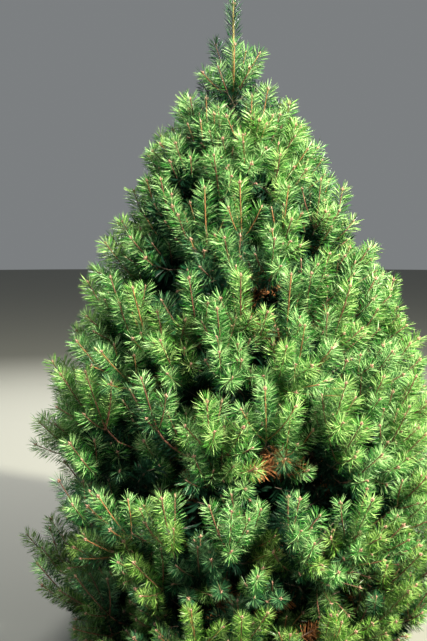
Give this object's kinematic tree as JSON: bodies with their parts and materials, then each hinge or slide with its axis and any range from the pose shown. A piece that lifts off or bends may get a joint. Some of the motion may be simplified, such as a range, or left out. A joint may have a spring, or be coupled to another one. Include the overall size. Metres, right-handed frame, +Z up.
{
  "type": "young scots pine tree",
  "caption": "Young pine of conical form with foliage down to the ground: one tapering trunk, whorls of boughs and masses of bottle-brush needle shoots.",
  "frame": {"origin": "on the ground, at the middle of the flat cut under the trunk", "axes": "+Z up along the trunk, -Y towards the tree's front, +X to the right seen from the front"},
  "size_m": [1.7014, 1.6923, 2.4],
  "materials": {
    "bark": "rough grey-brown to orange-brown bark",
    "needles": "blue-green needles, yellow-green where the sun reaches them, a few dead orange-brown ones inside",
    "young_shoots": "smooth orange-brown shoots with pinkish buds"
  },
  "bodies": {
    "root": {"trunk": "bark", "bough_1_1": "bark", "bough_1_2": "bark", "bough_1_3": "bark", "bough_1_4": "bark", "bough_1_5": "bark", "bough_2_1": "bark", "bough_2_2": "bark", "bough_2_3": "bark", "bough_2_4": "bark", "bough_2_5": "bark", "bough_3_1": "bark", "bough_3_2": "bark", "bough_3_3": "bark", "bough_3_4": "bark", "bough_3_5": "bark", "bough_4_1": "bark", "bough_4_2": "bark", "bough_4_3": "bark", "bough_4_4": "bark", "bough_4_5": "bark", "bough_5_1": "bark", "bough_5_2": "bark", "bough_5_3": "bark", "bough_5_4": "bark", "foliage_1_1": "needles", "foliage_1_2": "needles", "foliage_1_3": "needles", "foliage_1_4": "needles", "foliage_1_5": "needles", "foliage_2_1": "needles", "foliage_2_2": "needles", "foliage_2_3": "needles", "foliage_2_4": "needles", "foliage_2_5": "needles", "foliage_3_1": "needles", "foliage_3_2": "needles", "foliage_3_3": "needles", "foliage_3_4": "needles", "foliage_3_5": "needles", "foliage_4_1": "needles", "foliage_4_2": "needles", "foliage_4_3": "needles", "foliage_4_4": "needles", "foliage_4_5": "needles", "foliage_5_1": "needles", "foliage_5_2": "needles", "foliage_5_3": "needles", "foliage_5_4": "needles", "foliage_6_1": "needles", "foliage_6_2": "needles", "foliage_6_3": "needles", "foliage_6_4": "needles", "foliage_6_5": "needles", "leader_needles": "needles", "top_shoot_1": "young_shoots", "top_shoot_2": "young_shoots", "top_shoot_3": "young_shoots", "top_shoot_4": "young_shoots", "top_shoot_5": "young_shoots"}
  },
  "joints": []
}
